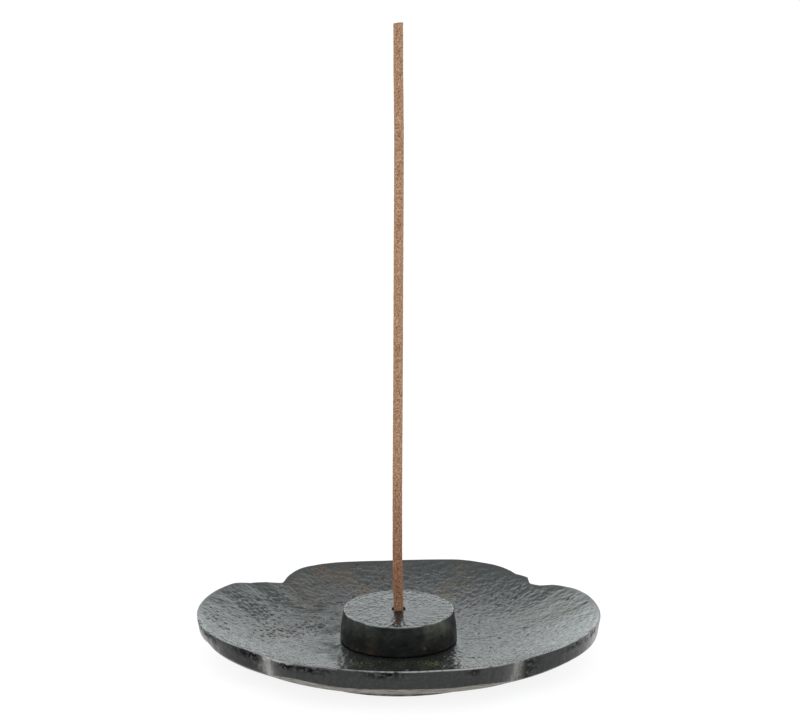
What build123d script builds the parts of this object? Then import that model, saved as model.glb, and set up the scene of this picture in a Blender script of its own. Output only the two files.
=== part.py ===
from build123d import *

import os
from math import cos, radians, sin, sqrt, tan

# An incense stick holder in cast iron, in millimetres: a four-lobed oval dish, a loose stand on its floor
# and a stick in the stand's bore. +Z is up, X runs along the dish, and the origin is the middle of the
# dish's foot, on the surface that it stands on.

# Dish, overall, with its height and its outer wall taken at the middle of a lobe
dish_length = 89.2
dish_width = 73.6
dish_height = 9.9
floor_thickness = 4.0
floor_margin = 2.5
wall_height = 3.9
wall_draft_angle = 10.0
rim_round = 0.25
wall_foot_round = 0.6

# Dish, plan: the end lobes lie along X, the side lobes along Y, and a notch parts each pair of neighbours.
# Each corner has an angle from X, taken before the round blank is drawn in across its width, and a share of
# the oval's reach there. The skew turns the corners clockwise against the ends of the dish.
end_corner_angle = 36.4
end_corner_share = 0.995
notch_angle = 47.9
notch_share = 0.931
side_corner_angle = 57.0
side_corner_share = 1.023
lobe_skew_angle = 2.2
end_shoulder_share = 0.18
side_shoulder_share = 0.19
notch_round = 1.2

# Dish, underside: a turned foot ring below a flat-bottomed belly
belly_flat_share = 0.635
foot_diameter = 52.4
foot_ring_width = 4.5
foot_height = 0.8

# Stick stand
stand_base_diameter = 25.8
stand_top_diameter = 24.2
stand_height = 7.0
stand_top_round = 0.35
stand_base_round = 0.3
bore_depth = 5.0
bore_clearance = 0.4
bore_mouth_round = 0.25

# Incense stick, snapped on the slant at its tip
stick_diameter = 2.2
stick_length = 140.0
tip_slant_angle = 20.8
tip_turn_angle = 107.0

# How far a cutting shape runs past what it cuts
overrun = 1.0

# The most that the face of an upright wall looks up or down, as a share of a full turn to the vertical
upright_share = 0.5

# Worked out from the sizes above
half_length = dish_length / 2
half_width = dish_width / 2
width_share = dish_width / dish_length
end_shoulder_round = dish_length * end_shoulder_share
side_shoulder_round = dish_width * side_shoulder_share
floor_half_length = (stand_base_diameter / 2 + floor_margin) / width_share
belly_half_length = half_length * belly_flat_share
blank_half_length = half_length + overrun
foot_radius = foot_diameter / 2
floor_middle = (foot_height + floor_thickness) / 2
stand_top = floor_thickness + stand_height
bore_floor = stand_top - bore_depth
bore_diameter = stick_diameter + 2 * bore_clearance
stick_top = bore_floor + stick_length

os.makedirs("parts", exist_ok=True)


def arc_rise(run, known_run, known_rise):
    """Rise at a run along an arc that starts level and passes through a known run and rise."""
    radius = (known_run**2 + known_rise**2) / (2 * known_rise)
    return radius - sqrt(radius**2 - run**2)


def is_upright(face):
    """Tell the rim's outer wall from the flatter skins above and below it."""
    return abs(face.normal_at().Z) < upright_share


def wall_edges(walls, way):
    """Edges along the top of upright walls, for way 1, or along their foot, for way -1."""
    found = []
    for wall in walls:
        middle = wall.center().Z
        for edge in wall.edges():
            if all((end.Z - middle) * way > 0 for end in edge.vertices()):
                found.append(edge)
    return found


def off_middle(axis):
    """Key that sorts corners by how far they lie from the middle along one axis."""
    return lambda corner: abs(corner.center().dot(axis.direction))


def oval_point(angle, share):
    """Point at a share of the oval's reach, at an angle that the skew turns back."""
    turn = radians(angle - lobe_skew_angle)
    return Vector(half_length * cos(turn), half_width * sin(turn)) * share


# Lobed block: the dish's plan at the height of the rim, as an upright block whose sides lean in downwards
plan_corners = [
    (end_corner_angle, end_corner_share),
    (notch_angle, notch_share),
    (side_corner_angle, side_corner_share),
]
right_corners = [oval_point(angle, share) for angle, share in plan_corners]
left_corners = [oval_point(180 - angle, share) for angle, share in plan_corners]
side_apex = oval_point(90, 1)

with BuildPart() as lobed_block:
    with BuildSketch(Plane.XY.offset(-overrun)) as plan:
        with BuildLine():
            for way in (1, -1):
                right = [corner * way for corner in right_corners]
                left = [corner * way for corner in left_corners]
                ThreePointArc(-left[0], (way * half_length, 0), right[0])
                Polyline(*right)
                ThreePointArc(right[-1], side_apex * way, left[-1])
                Polyline(*left)
        make_face()
        fillet(plan.vertices().sort_by(SortBy.DISTANCE)[:4], notch_round)
        fillet(plan.vertices().sort_by(off_middle(Axis.X))[-4:], end_shoulder_round)
        fillet(plan.vertices().sort_by(off_middle(Axis.Y))[-4:], side_shoulder_round)
    extrude(amount=dish_height + 2 * overrun)
    draft(lobed_block.faces().filter_by(is_upright), Plane.XY.offset(dish_height), -wall_draft_angle)


# Dish: a round blank with a flat floor and a flat belly, drawn in across its width and trimmed to its
# lobes, on a round foot ring
with BuildPart() as dish:
    with BuildSketch(Plane.XZ):
        with BuildLine():
            bowl_run = half_length - floor_half_length
            bowl_rise = arc_rise(bowl_run + overrun, bowl_run, dish_height - floor_thickness)
            belly_run = half_length - belly_half_length
            belly_rise = arc_rise(belly_run + overrun, belly_run, dish_height - wall_height - foot_height)
            bowl_end = (blank_half_length, floor_thickness + bowl_rise)
            belly_end = (blank_half_length, foot_height + belly_rise)
            floor = Line((0, floor_thickness), (floor_half_length, floor_thickness))
            bowl = TangentArc(floor @ 1, bowl_end, tangent=floor % 1)
            underside = Line((0, foot_height), (belly_half_length, foot_height))
            belly = TangentArc(underside @ 1, belly_end, tangent=underside % 1)
            Line(bowl @ 1, belly @ 1)
            Line(underside @ 0, floor @ 0)
        make_face()
    revolve(axis=Axis.Z)
    scale(by=(1, width_share, 1))
    add(lobed_block.part, mode=Mode.INTERSECT)

    fillet(wall_edges(dish.faces().filter_by(is_upright), 1), rim_round)
    fillet(wall_edges(dish.faces().filter_by(is_upright), -1), wall_foot_round)

    with BuildSketch():
        Circle(foot_radius)
        Circle(foot_radius - foot_ring_width, mode=Mode.SUBTRACT)
    extrude(amount=floor_middle)

dish.part.label = "dish"
export_step(dish.part, "parts/dish.step")


# Stick stand: a low round weight whose side leans in towards the top, with one upright blind bore
with BuildPart() as stick_stand:
    with BuildSketch(Plane.XZ):
        with BuildLine():
            base = Line((0, floor_thickness), (stand_base_diameter / 2, floor_thickness))
            side = TangentArc(base @ 1, (stand_top_diameter / 2, stand_top), tangent=(0, 1))
            Polyline(side @ 1, (0, stand_top), base @ 0)
        make_face()
    revolve(axis=Axis.Z)
    edges_upwards = stick_stand.edges().filter_by(GeomType.CIRCLE).sort_by(Axis.Z)
    fillet(edges_upwards[-1], stand_top_round)
    fillet(edges_upwards[0], stand_base_round)
    with Locations((0, 0, stand_top)):
        Hole(bore_diameter / 2, bore_depth)
    bore_edges = stick_stand.edges().filter_by(GeomType.CIRCLE).sort_by(SortBy.RADIUS)[:2]
    fillet(bore_edges.sort_by(Axis.Z)[-1], bore_mouth_round)

stick_stand.part.label = "stick_stand"
export_step(stick_stand.part, "parts/stick_stand.step")


# Incense stick: a round coreless stick that stands on the floor of the bore
tip_drop = stick_diameter / 2 * tan(radians(tip_slant_angle))
tip_normal = Vector(0, 0, 1).rotate(Axis.Y, tip_slant_angle).rotate(Axis.Z, tip_turn_angle)

with BuildPart() as incense_stick:
    with BuildSketch(Plane.XY.offset(bore_floor)):
        Circle(stick_diameter / 2)
    extrude(amount=stick_length + overrun)
    split(bisect_by=Plane((0, 0, stick_top - tip_drop), z_dir=tip_normal), keep=Keep.BOTTOM)

incense_stick.part.label = "incense_stick"
export_step(incense_stick.part, "parts/incense_stick.step")
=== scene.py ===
"""Looks of a cast-iron incense stick holder: a lobed dish, a loose stick stand and an incense stick.

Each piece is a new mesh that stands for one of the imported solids, in the same frame. Sizes are in
millimetres and become metres where a mesh is made.
"""

import logging
import math
from dataclasses import dataclass, field
from enum import Enum, IntEnum
from typing import Any, Callable, Optional, Sequence, Union

import bpy
import numpy as np
from mathutils import Matrix, Vector, noise


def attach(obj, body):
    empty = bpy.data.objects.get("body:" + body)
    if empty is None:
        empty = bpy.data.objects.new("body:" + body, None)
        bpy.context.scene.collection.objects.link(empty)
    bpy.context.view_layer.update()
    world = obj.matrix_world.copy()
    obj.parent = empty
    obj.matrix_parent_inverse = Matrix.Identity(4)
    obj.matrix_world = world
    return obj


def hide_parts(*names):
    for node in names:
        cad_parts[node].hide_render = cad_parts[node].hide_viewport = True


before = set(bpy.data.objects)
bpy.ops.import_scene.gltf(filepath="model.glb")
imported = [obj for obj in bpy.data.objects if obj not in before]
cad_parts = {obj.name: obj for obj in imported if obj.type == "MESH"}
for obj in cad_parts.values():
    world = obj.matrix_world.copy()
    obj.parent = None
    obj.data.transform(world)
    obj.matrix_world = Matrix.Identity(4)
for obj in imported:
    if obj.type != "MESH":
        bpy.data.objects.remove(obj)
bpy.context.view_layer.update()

MM = 0.001

# Layers laid on each other in a mesh's relief, plain or fine, and in a material's noise, even or broken
PLAIN_OCTAVES, FINE_OCTAVES = 2, 3
EVEN_LAYERS, BROKEN_LAYERS = 2.0, 3.0
# How much strength each finer layer of a relief loses, and how many times finer it is
LAYER_FALL, LAYER_STEP = 1.0, 2.0
# Span that holds nearly all of a material's noise
NOISE_SPAN = (0.3, 0.7)
# Specular level at which a shader has all its mirroring
FULL_SPECULAR = 0.5
# Settings of a node that mixes colours
COLOURS = {"data_type": "RGBA"}
# Scales places to their places in plan
IN_PLAN = (1.0, 1.0, 0.0)
# Fewest points along a leg of the dish's plan, and round one of its corners
FEWEST_ON_LEG, FEWEST_ROUND_CORNER = 2, 3

log = logging.getLogger("incense_holder")

# Amounts by angle in plan, each an angle in degrees from X and a length in millimetres
AngleTable = tuple[tuple[float, float], ...]
# What an input of a shader takes: a number, or what another node puts out
Amount = Union[float, bpy.types.Node]


class Slot(Enum):
    """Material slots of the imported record."""

    DISH = "dish_iron"
    STAND = "stand_iron"
    STICK = "incense"


class DishFace(IntEnum):
    """Which finish of the dish a face wears, as its material index."""

    BOWL = 0
    WALL = 1
    UNDERSIDE = 2


class Pattern(Enum):
    """Reliefs of the meshes, each with the shift that sets it apart from the others."""

    DISH_SWELL = 0.0
    DISH_RIBS = 3.0
    DISH_RIPPLE = 5.0
    RIM_CHIPS = 9.7
    RUST_CLOUD = 11.0
    STAND_SWELL = 17.0
    DISH_FILM = 23.0
    STAND_RIPPLE = 29.0
    STAND_FILM = 37.0
    STAND_HIGHLIGHT = 41.0
    FILE_MARKS = 53.0
    RIM_HIGHLIGHT = 61.0
    STICK_GRAIN = 71.0
    TIP_CRUMBLE = 83.0
    DISH_PITS = 97.0


def linear(hex_colour: str) -> tuple[float, float, float, float]:
    """Turn an sRGB hex colour into linear RGBA, by the numbers of the sRGB curve.

    Args:
        hex_colour: Six hex digits after a hash sign.

    Returns:
        Red, green, blue and an alpha of 1.
    """
    parts = [int(hex_colour[i:i + 2], 16) / 255 for i in (1, 3, 5)]
    red, green, blue = (p / 12.92 if p <= 0.04045 else ((p + 0.055) / 1.055) ** 2.4 for p in parts)
    return red, green, blue, 1.0


def add_node(tree: bpy.types.NodeTree, kind: str, settings: Optional[dict[str, Any]] = None,
             **inputs: Any) -> bpy.types.Node:
    """Add one shader node with its settings and links.

    Args:
        tree: The node tree that gets the node.
        kind: The node's type name, without the words that all shader nodes start with.
        settings: Values for the node's own properties.
        **inputs: For each input, by its name with _ for a space or by i and its number, a value, an output
            socket, or a node that gives its first output in use.

    Returns:
        The new node.
    """
    node = tree.nodes.new("ShaderNode" + kind)
    for name, value in (settings or {}).items():
        setattr(node, name, value)
    for name, value in inputs.items():
        key = int(name[1:]) if name[1:].isdigit() else name.replace("_", " ")
        if isinstance(value, bpy.types.Node):
            value = next(socket for socket in value.outputs if socket.enabled)
        if isinstance(value, bpy.types.NodeSocket):
            tree.links.new(value, node.inputs[key])
        else:
            node.inputs[key].default_value = value
    return node


def start_material(name: str) -> tuple[bpy.types.Material, bpy.types.NodeTree, bpy.types.Node]:
    """Start a node material.

    Args:
        name: The material's name.

    Returns:
        The material, its emptied tree, and the node that gives the surface's place in millimetres.
    """
    material = bpy.data.materials.new(name)
    material.use_nodes = True
    tree = material.node_tree
    tree.nodes.clear()
    place = add_node(tree, "TexCoord")
    in_mm = add_node(tree, "VectorMath", {"operation": "SCALE"}, i0=place.outputs["Object"], Scale=1 / MM)
    return material, tree, in_mm


def end_material(tree: bpy.types.NodeTree, colour: bpy.types.Node, roughness: Amount,
                 height: bpy.types.Node, depth: float, ior: float,
                 specular: Amount = FULL_SPECULAR) -> None:
    """Add the shader that the eye sees, with its bumps, and the material's output.

    Args:
        tree: The material's tree.
        colour: The node that gives its base colour.
        roughness: Its roughness, as a value or a node.
        height: The node that gives the height of its bumps, about 0 to 1.
        depth: What a height of 1 is in millimetres.
        ior: Index of refraction.
        specular: Its specular level, as a value or a node.
    """
    bump = add_node(tree, "Bump", Height=height, Strength=1.0, Distance=depth * MM)
    shader = add_node(tree, "BsdfPrincipled", Base_Color=colour, Roughness=roughness, IOR=ior,
                      Specular_IOR_Level=specular, Normal=bump)
    add_node(tree, "OutputMaterial", Surface=shader)


def relief(points: np.ndarray, size: float, pattern: Pattern, octaves: int = PLAIN_OCTAVES) -> np.ndarray:
    """Give smooth random heights at points.

    Args:
        points: Places in millimetres, the last axis being x, y and z.
        size: Spacing of the largest bumps in millimetres.
        pattern: Which of the reliefs it is, so that no two are alike.
        octaves: How many layers, each finer than the last, are laid on each other.

    Returns:
        One height for each point, about -1 to 1.
    """
    flat = points.reshape(-1, 3) / size + pattern.value
    heights = [noise.fractal(Vector(p), LAYER_FALL, LAYER_STEP, octaves, noise_basis="PERLIN_ORIGINAL")
               for p in flat]
    return np.array(heights).reshape(points.shape[:-1])


def smooth_step(low: float, high: float, value: np.ndarray) -> np.ndarray:
    """Rise smoothly from 0 at low to 1 at high."""
    share = np.clip((value - low) / (high - low), 0, 1)
    return share * share * (3 - 2 * share)


def unit(vectors: np.ndarray) -> np.ndarray:
    """Scale vectors to a length of 1."""
    return vectors / np.linalg.norm(vectors, axis=-1, keepdims=True)


def by_angle(table: AngleTable, points: np.ndarray) -> np.ndarray:
    """Read a table of amounts by angle.

    Args:
        table: The amounts, between which it runs straight.
        points: Places in plan.

    Returns:
        The amount at each point.
    """
    angles = np.degrees(np.arctan2(points[..., 1], points[..., 0]))
    knots, amounts = zip(*table)
    return np.interp(angles, knots, amounts, period=360)


def rounded(before: np.ndarray, corner: np.ndarray, after: np.ndarray, steps: int) -> list[np.ndarray]:
    """Round a corner.

    Args:
        before: Where the rounding starts, a point or a ring of points.
        corner: The sharp corner.
        after: Where the rounding ends.
        steps: How many strips the rounding has.

    Returns:
        The points or rings after the first, up to the last.
    """
    shares = np.linspace(0, 1, steps + 1)[1:]
    return [(1 - s) ** 2 * before + 2 * s * (1 - s) * corner + s ** 2 * after for s in shares]


def circle(columns: int) -> np.ndarray:
    """Give points round a circle of radius 1, counterclockwise from X."""
    turn = np.linspace(0, 2 * math.pi, columns, endpoint=False)
    return np.stack([np.cos(turn), np.sin(turn)], axis=-1)


def show(name: str, data: bpy.types.ID) -> bpy.types.Object:
    """Put a mesh or a camera into the scene.

    Args:
        name: The new object's name.
        data: Its mesh or camera.

    Returns:
        The object, linked to the scene.
    """
    item = bpy.data.objects.new(name, data)
    bpy.context.scene.collection.objects.link(item)
    return item


def ring_piece(name: str, stack: np.ndarray, finish: Sequence[int],
               **amounts: np.ndarray) -> bpy.types.Object:
    """Make a closed piece from a stack of rings that runs from one middle over the outside to the other.

    Args:
        name: The piece's name.
        stack: Rings of points in millimetres, counterclockwise from above, the first at the top.
        finish: Material index of each strip between neighbouring rings.
        **amounts: Named amounts for the material, one for each point of each ring.

    Returns:
        The new object, linked to the scene.
    """
    count, columns = stack.shape[:2]
    middles = np.array([stack[0].mean(0), stack[-1].mean(0)])
    points = np.concatenate([stack.reshape(-1, 3), middles]) * MM
    here = np.arange(count * columns).reshape(count, columns)
    along = np.roll(here, -1, axis=1)
    quads = np.stack([here[:-1], here[1:], along[1:], along[:-1]], axis=-1).reshape(-1, 4)
    first = [(count * columns, a, b) for a, b in zip(here[0].tolist(), along[0].tolist())]
    last = [(count * columns + 1, b, a) for a, b in zip(here[-1].tolist(), along[-1].tolist())]
    mesh = bpy.data.meshes.new(name)
    mesh.from_pydata(points.tolist(), [], quads.tolist() + first + last)
    kinds = np.repeat([*finish, finish[0], finish[-1]], columns)
    mesh.polygons.foreach_set("material_index", kinds.astype(np.int32))
    mesh.polygons.foreach_set("use_smooth", np.ones(len(kinds), dtype=bool))
    for key, values in amounts.items():
        filled = np.append(np.clip(values, 0, 1), [0.0, 0.0]).astype(np.float32)
        mesh.attributes.new(key, "FLOAT", "POINT").data.foreach_set("value", filled)
    mesh.update()
    return show(name, mesh)


@dataclass(frozen=True)
class Patch:
    """A spot where something has happened to a piece's skin."""

    x: float
    y: float
    reach: float
    strength: float
    z: Optional[float] = None

    def amount(self, points: np.ndarray) -> np.ndarray:
        """Give how strongly the spot shows at points.

        Args:
            points: Places in millimetres, the last axis being x, y and z.

        Returns:
            The strength at each point, fading with distance, in plan where the spot has no height of
            its own.
        """
        away = np.hypot(points[..., 0] - self.x, points[..., 1] - self.y)
        if self.z is not None:
            away = np.hypot(away, points[..., 2] - self.z)
        return self.strength * np.exp(-(away / self.reach) ** 2)


def patches_at(patches: Sequence[Patch], points: np.ndarray) -> np.ndarray:
    """Add up how strongly patches show at points."""
    return sum(patch.amount(points) for patch in patches)


@dataclass(frozen=True)
class CastSkin:
    """Black oil-baked skin of an iron casting, left as it came from the sand.

    It gives the eye a deep black that turns a cool grey where it mirrors a pale room at a low angle,
    broken up by sand grain and pits, with a thin brown bloom of rust in places, a painted shadow in the
    rim's chips, and a painted highlight, pale as bare iron, along edges.
    """

    name: str
    black: str = "#171918"
    grey: str = "#252827"
    rust: str = "#7c5a40"
    ochre: str = "#625c3c"
    pit: str = "#12130f"
    # Colour of the painted highlight along edges, pale as bare iron
    bare: str = "#b9bdbe"
    roughness: tuple[float, float] = (0.14, 0.28)
    dull: float = 0.35
    dull_specular: float = 0.12
    ior: float = 1.6
    mottle_size: float = 5.0
    patch_size: float = 1.3
    speck_size: float = 0.5
    specks: tuple[float, float] = (0.43, 0.6)
    pinhole_size: float = 0.55
    pinhole_depth: float = 0.05
    pinholes: tuple[float, float] = (0.65, 0.75)
    pinhole_shade: float = 0.45
    # Sand grain is finer than a pixel shows, so it is drawn about twice as coarse as it is
    grain_size: float = 0.5
    grain_height: float = 0.15

    def material(self) -> bpy.types.Material:
        """Make the material.

        Returns:
            The new material.
        """
        material, tree, place = start_material(self.name)
        bloom, olive, pitted, bright_edge, grainy = (
            add_node(tree, "Attribute", {"attribute_name": key}).outputs["Fac"]
            for key in ("bloom", "olive", "pitted", "bright_edge", "grainy"))
        mottle = add_node(tree, "TexNoise", Vector=place, Scale=1 / self.mottle_size, Detail=BROKEN_LAYERS)
        skin = add_node(tree, "Mix", COLOURS, i0=mottle, i6=linear(self.black), i7=linear(self.grey))
        specks = add_node(tree, "TexNoise", Vector=place, Scale=1 / self.speck_size, Detail=BROKEN_LAYERS)
        broken = add_node(tree, "MapRange", Value=specks, From_Min=self.specks[0], From_Max=self.specks[1])
        rusty = add_node(tree, "Math", {"operation": "MULTIPLY"}, i0=bloom, i1=broken)
        hue = add_node(tree, "Mix", COLOURS, i0=olive, i6=linear(self.rust), i7=linear(self.ochre))
        rusted = add_node(tree, "Mix", COLOURS, i0=rusty, i6=skin, i7=hue)
        holes = add_node(tree, "TexNoise", Vector=place, Scale=1 / self.pinhole_size, Detail=EVEN_LAYERS)
        deep = add_node(tree, "MapRange", Value=holes, From_Min=self.pinholes[0], From_Max=self.pinholes[1],
                        To_Max=self.pinhole_shade)
        # The pitted amount also carries the painted shadow in the rim's chips
        pits = add_node(tree, "Math", {"operation": "MAXIMUM"}, i0=pitted, i1=deep)
        holed = add_node(tree, "Mix", COLOURS, i0=pits, i6=rusted, i7=linear(self.pit))
        # Painted highlight along edges, in bare iron's colour
        edge_highlighted = add_node(tree, "Mix", COLOURS, i0=bright_edge, i6=holed, i7=linear(self.bare))
        patches = add_node(tree, "TexNoise", Vector=place, Scale=1 / self.patch_size, Detail=EVEN_LAYERS)
        gloss = add_node(tree, "MapRange", Value=patches, From_Min=NOISE_SPAN[0], From_Max=NOISE_SPAN[1],
                         To_Min=self.roughness[0], To_Max=self.roughness[1])
        spoilt = add_node(tree, "Math", {"operation": "MAXIMUM"}, i0=rusty, i1=pits)
        rough = add_node(tree, "Math", {"operation": "MULTIPLY_ADD"}, i0=spoilt, i1=self.dull, i2=gloss)
        shine = add_node(tree, "MapRange", Value=spoilt, To_Min=FULL_SPECULAR, To_Max=self.dull_specular)
        grain = add_node(tree, "TexNoise", Vector=place, Scale=1 / self.grain_size, Detail=EVEN_LAYERS)
        sanded = add_node(tree, "Math", {"operation": "MULTIPLY"}, i0=grain, i1=grainy)
        height = add_node(tree, "Math", {"operation": "MULTIPLY_ADD"}, i0=deep,
                          i1=-self.pinhole_depth / self.grain_height, i2=sanded)
        end_material(tree, edge_highlighted, rough, height, self.grain_height, self.ior, shine)
        return material


@dataclass(frozen=True)
class FiledWall:
    """Outer wall of the casting, dressed with a file and blacked again.

    It gives the eye a flatter charcoal with faint upright file strokes and soot-dark blotches, pale
    where the file cut to bare iron, with a painted shadow in the rim's chips, a painted highlight along the
    rim's edge, and paler towards its foot.
    """

    name: str
    black: str = "#171617"
    grey: str = "#2b2a2b"
    # Colour of soot, which also paints the shadow in the rim's chips
    soot: str = "#070807"
    # Colour of bare iron, which also paints the highlight along the rim's edge and the paler foot
    bare: str = "#b0ada6"
    roughness: tuple[float, float] = (0.3, 0.45)
    stroke_width: float = 0.45
    stroke_length: float = 6.0
    stroke_depth: float = 0.05
    cuts: tuple[float, float] = (0.2, 0.5)
    blotch_size: float = 0.9
    blotches: tuple[float, float] = (0.4, 0.52)
    # Specular level where soot or the painted chip shadow lies
    soot_specular: float = 0.03
    ior: float = 1.5

    def material(self) -> bpy.types.Material:
        """Make the material.

        Returns:
            The new material.
        """
        material, tree, place = start_material(self.name)
        bare, bright_edge, soot, pitted = (add_node(tree, "Attribute", {"attribute_name": key}).outputs["Fac"]
                                    for key in ("bare", "bright_edge", "soot", "pitted"))
        across, along = 1 / self.stroke_width, 1 / self.stroke_length
        drawn = add_node(tree, "Mapping", Vector=place, Scale=(across, across, along))
        strokes = add_node(tree, "TexNoise", Vector=drawn, Scale=1.0, Detail=BROKEN_LAYERS)
        shade = add_node(tree, "Mix", COLOURS, i0=strokes, i6=linear(self.black), i7=linear(self.grey))
        blotches = add_node(tree, "TexNoise", Vector=place, Scale=1 / self.blotch_size,
                            Detail=BROKEN_LAYERS)
        spots = add_node(tree, "MapRange", Value=blotches, From_Min=self.blotches[0],
                         From_Max=self.blotches[1])
        smoke = add_node(tree, "Math", {"operation": "MULTIPLY"}, i0=spots, i1=soot)
        # On the wall the pitted amount is the painted shadow in the rim's chips
        dark = add_node(tree, "Math", {"operation": "MAXIMUM"}, i0=smoke, i1=pitted)
        cutting = add_node(tree, "MapRange", Value=strokes, From_Min=self.cuts[0], From_Max=self.cuts[1])
        cut = add_node(tree, "Math", {"operation": "MULTIPLY"}, i0=bare, i1=cutting)
        filed = add_node(tree, "Mix", COLOURS, i0=cut, i6=shade, i7=linear(self.bare))
        sooty = add_node(tree, "Mix", COLOURS, i0=dark, i6=filed, i7=linear(self.soot))
        # Painted highlight along the rim's edge, and the paler foot, in bare iron's colour
        colour = add_node(tree, "Mix", COLOURS, i0=bright_edge, i6=sooty, i7=linear(self.bare))
        rough = add_node(tree, "MapRange", Value=blotches, From_Min=NOISE_SPAN[0], From_Max=NOISE_SPAN[1],
                         To_Min=self.roughness[0], To_Max=self.roughness[1])
        shine = add_node(tree, "MapRange", Value=dark, To_Min=FULL_SPECULAR, To_Max=self.soot_specular)
        end_material(tree, colour, rough, strokes, self.stroke_depth, self.ior, shine)
        return material


@dataclass(frozen=True)
class TurnedIron:
    """Underside and foot, turned and ground to bare iron, gone dull.

    It gives the eye a warm grey with fine level streaks that follow the foot round.
    """

    name: str
    dark: str = "#2e2722"
    pale: str = "#a99d94"
    roughness: float = 0.55
    streak_width: float = 0.55
    streak_length: float = 2.6
    streak_radius: float = 28.0
    streak_depth: float = 0.04
    streaks: tuple[float, float] = (0.36, 0.6)
    ior: float = 1.5

    def material(self) -> bpy.types.Material:
        """Make the material.

        Returns:
            The new material.
        """
        material, tree, place = start_material(self.name)
        apart = add_node(tree, "SeparateXYZ", Vector=place)
        level = add_node(tree, "VectorMath", {"operation": "MULTIPLY"}, i0=place, i1=IN_PLAN)
        reach = add_node(tree, "VectorMath", {"operation": "LENGTH"}, i0=level)
        turn = add_node(tree, "VectorMath", {"operation": "NORMALIZE"}, i0=level)
        along = add_node(tree, "VectorMath", {"operation": "SCALE"}, i0=turn,
                         Scale=self.streak_radius / self.streak_length)
        section = add_node(tree, "Math", {"operation": "ADD"}, i0=reach, i1=apart.outputs["Z"])
        across = add_node(tree, "Math", {"operation": "DIVIDE"}, i0=section, i1=self.streak_width)
        lifted = add_node(tree, "CombineXYZ", Z=across)
        drawn = add_node(tree, "VectorMath", {"operation": "ADD"}, i0=along, i1=lifted)
        streaks = add_node(tree, "TexNoise", Vector=drawn, Scale=1.0, Detail=BROKEN_LAYERS)
        shown = add_node(tree, "MapRange", Value=streaks, From_Min=self.streaks[0],
                         From_Max=self.streaks[1])
        shade = add_node(tree, "Mix", COLOURS, i0=shown, i6=linear(self.dark), i7=linear(self.pale))
        end_material(tree, shade, self.roughness, streaks, self.streak_depth, self.ior)
        return material


@dataclass(frozen=True)
class IncensePaste:
    """Pressed and dried paste of wood powder, bark and resin.

    It gives the eye a dull reddish brown with fine darker and paler grains.
    """

    name: str
    dark: str = "#7a5239"
    brown: str = "#aa7f63"
    pale: str = "#cfa587"
    # Tint that multiplies in the painted shade towards the stick's foot
    foot_shade_tint: str = "#c29987"
    roughness: float = 0.85
    # Powder is finer than a pixel shows, so it is drawn coarser than it is
    powder_size: float = 0.3
    # Where the dark, brown and pale grains come along the pattern of the powder
    powder_steps: tuple[float, float, float] = (0.32, 0.5, 0.68)
    grain_size: float = 0.5
    grain_height: float = 0.08
    ior: float = 1.45

    def material(self) -> bpy.types.Material:
        """Make the material.

        Returns:
            The new material.
        """
        material, tree, place = start_material(self.name)
        powder = add_node(tree, "TexNoise", Vector=place, Scale=1 / self.powder_size, Detail=EVEN_LAYERS)
        shade = add_node(tree, "ValToRGB", Fac=powder)
        steps, (low, middle, high) = shade.color_ramp.elements, self.powder_steps
        steps[0].position, steps[0].color = low, linear(self.dark)
        steps[1].position, steps[1].color = high, linear(self.pale)
        steps.new(middle).color = linear(self.brown)
        # Painted shade, darker towards the stick's foot
        handled = add_node(tree, "Attribute", {"attribute_name": "handled"})
        colour = add_node(tree, "Mix", {**COLOURS, "blend_type": "MULTIPLY"}, i0=handled.outputs["Fac"],
                          i6=shade, i7=linear(self.foot_shade_tint))
        grain = add_node(tree, "TexNoise", Vector=place, Scale=1 / self.grain_size, Detail=EVEN_LAYERS)
        end_material(tree, colour, self.roughness, grain, self.grain_height, self.ior)
        return material


@dataclass
class Leg:
    """A straight leg of an outline or, where it has a centre, a counterclockwise arc."""

    start: np.ndarray
    end: np.ndarray
    centre: Optional[np.ndarray] = None

    @property
    def radius(self) -> float:
        """Radius of an arc."""
        return float(np.linalg.norm(self.start - self.centre))

    @property
    def run(self) -> np.ndarray:
        """Unit direction of a straight leg."""
        return unit(self.end - self.start)

    def touch(self, point: np.ndarray) -> np.ndarray:
        """Give the nearest point of the leg's whole line or circle.

        Args:
            point: A place in plan.

        Returns:
            The point on the line or circle.
        """
        if self.centre is None:
            return self.start + self.run * ((point - self.start) @ self.run)
        return self.centre + unit(point - self.centre) * self.radius

    def between(self, start: np.ndarray, end: np.ndarray, step: float) -> np.ndarray:
        """Give points along the leg.

        Args:
            start: First point, on the leg.
            end: Last point, on the leg, which is left out.
            step: About how far apart the points are.

        Returns:
            The points, one to a row.
        """
        count = max(FEWEST_ON_LEG, int(np.linalg.norm(end - start) / step))
        shares = np.arange(count) / count
        if self.centre is None:
            return start + (end - start) * shares[:, None]
        return arc_points(self.centre, start, end, shares)


def arc_points(centre: np.ndarray, start: np.ndarray, end: np.ndarray, shares: np.ndarray) -> np.ndarray:
    """Give points on the shorter arc round a centre.

    Args:
        centre: Middle of the arc.
        start: Its first point.
        end: Its last point.
        shares: How far along the arc each point is, from 0 to 1.

    Returns:
        The points, one to a row.
    """
    first, last = (math.atan2(*(p - centre)[::-1]) for p in (start, end))
    turn = (last - first + math.pi) % (2 * math.pi) - math.pi
    angles = first + turn * shares
    return centre + np.linalg.norm(start - centre) * np.stack([np.cos(angles), np.sin(angles)], axis=-1)


def circle_centre(a: np.ndarray, b: np.ndarray, c: np.ndarray) -> np.ndarray:
    """Give the centre of the circle through three points."""
    return np.linalg.solve(2 * np.array([b - a, c - a]), np.array([b @ b - a @ a, c @ c - a @ a]))


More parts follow.
